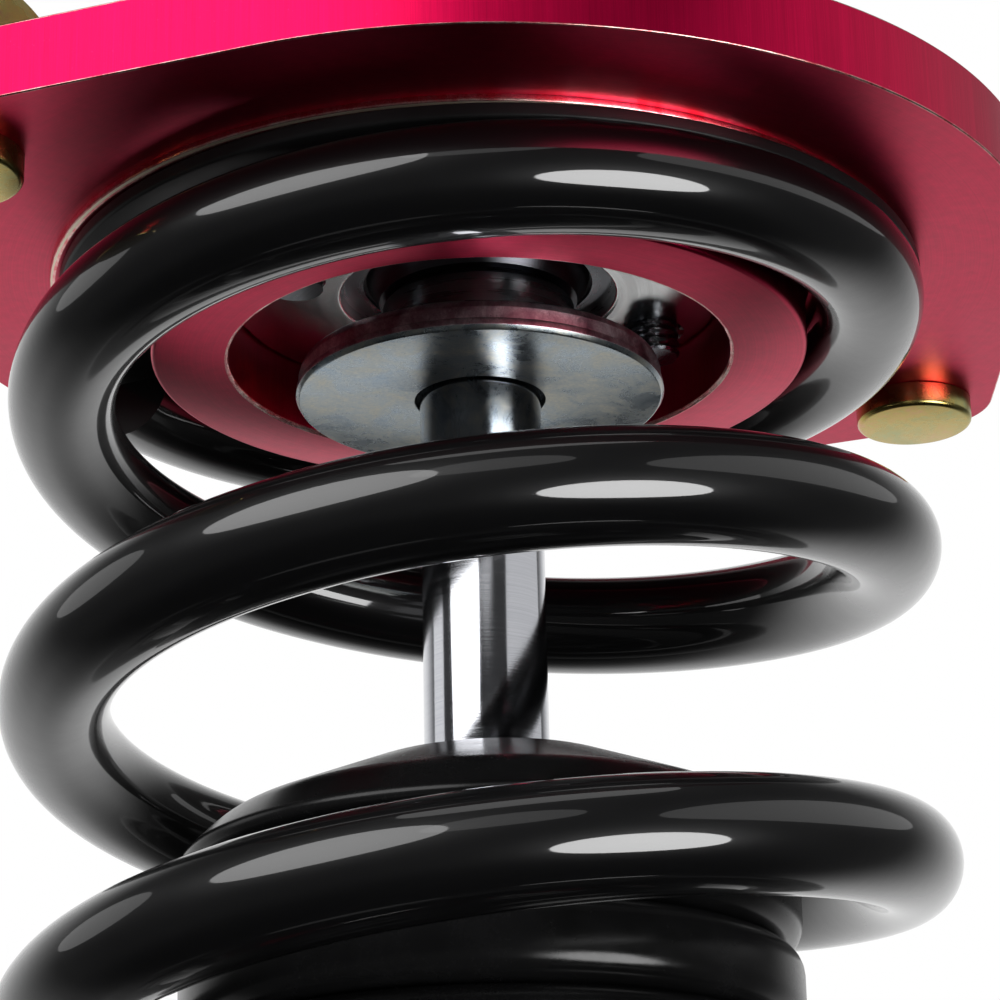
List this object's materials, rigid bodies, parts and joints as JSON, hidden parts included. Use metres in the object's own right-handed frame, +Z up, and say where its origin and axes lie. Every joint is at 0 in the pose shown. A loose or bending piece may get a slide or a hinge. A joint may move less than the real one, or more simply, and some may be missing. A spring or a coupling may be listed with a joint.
{
  "type": "coilover",
  "caption": "Height-adjustable coilover strut: coil spring round a threaded damper, two-stud spherical-bearing top mount, rubber-bushed lower eye.",
  "frame": {"origin": "centre of the top plate's upper face, on the damper axis", "axes": "+Z up along the damper axis, towards the adjuster knob; +X through the two mounting studs; Y along the lower eye's bolt"},
  "size_m": [0.138, 0.116, 0.374],
  "materials": {
    "red_anodised": "red anodised aluminium, satin",
    "raw_aluminium": "turned, natural",
    "black_seat": "black anodised, satin",
    "spring_black": "gloss black powder coat",
    "steel": "machined steel",
    "rod_chrome": "ground and hard chromed",
    "zinc_blue": "clear zinc plate, mottled",
    "zinc_gold": "yellow zinc plate, iridescent",
    "rubber_black": "black rubber, satin",
    "bump_foam": "cellular polyurethane",
    "ptfe": "PTFE composite",
    "bronze": "bronze-backed bush",
    "black_plastic": "black nylon"
  },
  "bodies": {
    "top_mount": {"top_plate": "red_anodised", "bearing_housing": "raw_aluminium", "bearing_cap": "raw_aluminium", "cap_screws": "steel", "bearing_race": "steel", "mount_studs": "zinc_gold", "stud_nuts": "zinc_gold", "upper_seat_ring": "black_seat"},
    "liner": {"bearing_liner": "ptfe"},
    "ball": {"pillow_ball": "rod_chrome"},
    "rod": {"upper_spacer": "steel", "lower_spacer": "steel", "rod_nut": "zinc_blue", "stop_washer": "zinc_blue", "piston_rod": "rod_chrome", "rebound_shims": "steel", "piston": "raw_aluminium", "piston_band": "ptfe", "compression_shims": "steel", "piston_nut": "steel", "coil_spring": "spring_black"},
    "adjuster": {"adjuster_knob": "red_anodised", "adjuster_needle": "steel"},
    "damper": {"gland_nut": "red_anodised", "wiper_seal": "rubber_black", "rod_seal": "rubber_black", "rod_guide": "raw_aluminium", "guide_bush": "bronze", "guide_o_ring": "rubber_black", "damper_tube": "raw_aluminium", "end_plug": "raw_aluminium", "fill_screw": "steel", "bump_stop": "bump_foam", "dust_boot": "rubber_black"},
    "gas_piston": {"floating_piston": "raw_aluminium", "floating_o_ring": "rubber_black"},
    "spring_seat": {"lower_slip_ring": "black_plastic"},
    "perch": {"lower_perch": "red_anodised"},
    "perch_lock": {"perch_lock_ring": "red_anodised"},
    "bracket": {"lower_bracket": "red_anodised", "eye_rubber": "rubber_black", "bracket_lock_ring": "red_anodised"},
    "eye": {"eye_sleeve": "zinc_blue"}
  },
  "joints": [
    {"name": "ball_tilt_x", "type": "hinge", "parent": "top_mount", "child": "liner", "pos_m": [0, 0, -0.002], "axis": [1, 0, 0], "range_deg": [-2, 2]},
    {"name": "ball_tilt_y", "type": "hinge", "parent": "liner", "child": "ball", "pos_m": [0, 0, -0.002], "axis": [0, 1, 0], "range_deg": [-2, 2]},
    {"name": "swivel", "type": "hinge", "parent": "ball", "child": "rod", "pos_m": [0, 0, -0.002], "axis": [0, 0, 1], "continuous": true},
    {"name": "adjuster_turn", "type": "hinge", "parent": "rod", "child": "adjuster", "pos_m": [0, 0, 0.03], "axis": [0, 0, 1], "range_deg": [-720, 0]},
    {"name": "stroke", "type": "slide", "parent": "rod", "child": "damper", "axis": [0, 0, 1], "range_m": [0, 0.038], "stiffness_N_per_m": 58840, "springref_m": -0.003, "deforming": ["coil_spring"]},
    {"name": "gas_piston_slide", "type": "slide", "parent": "damper", "child": "gas_piston", "axis": [0, 0, 1], "range_m": [-0.006, 0.001]},
    {"name": "perch_height", "type": "slide", "parent": "damper", "child": "spring_seat", "axis": [0, 0, 1], "range_m": [-0.012, 0]},
    {"name": "perch_turn", "type": "hinge", "parent": "spring_seat", "child": "perch", "pos_m": [0, 0, -0.18], "axis": [0, 0, 1], "range_deg": [-2160, 0]},
    {"name": "perch_lock_turn", "type": "hinge", "parent": "spring_seat", "child": "perch_lock", "pos_m": [0, 0, -0.195], "axis": [0, 0, 1], "range_deg": [-2160, 0]},
    {"name": "bracket_height", "type": "slide", "parent": "damper", "child": "bracket", "axis": [0, 0, 1], "range_m": [-0.012, 0.01]},
    {"name": "eye_twist", "type": "hinge", "parent": "bracket", "child": "eye", "pos_m": [0, 0, -0.318], "axis": [0, 1, 0], "range_deg": [-15, 15], "stiffness_Nm_per_rad": 4}
  ],
  "couplings": [
    {"joint": "gas_piston_slide", "follows": "stroke", "ratio": -0.08451},
    {"joint": "perch_height", "follows": "perch_turn", "m_per_rad": 0.00031831},
    {"joint": "perch_lock_turn", "follows": "perch_turn", "ratio": 1}
  ]
}
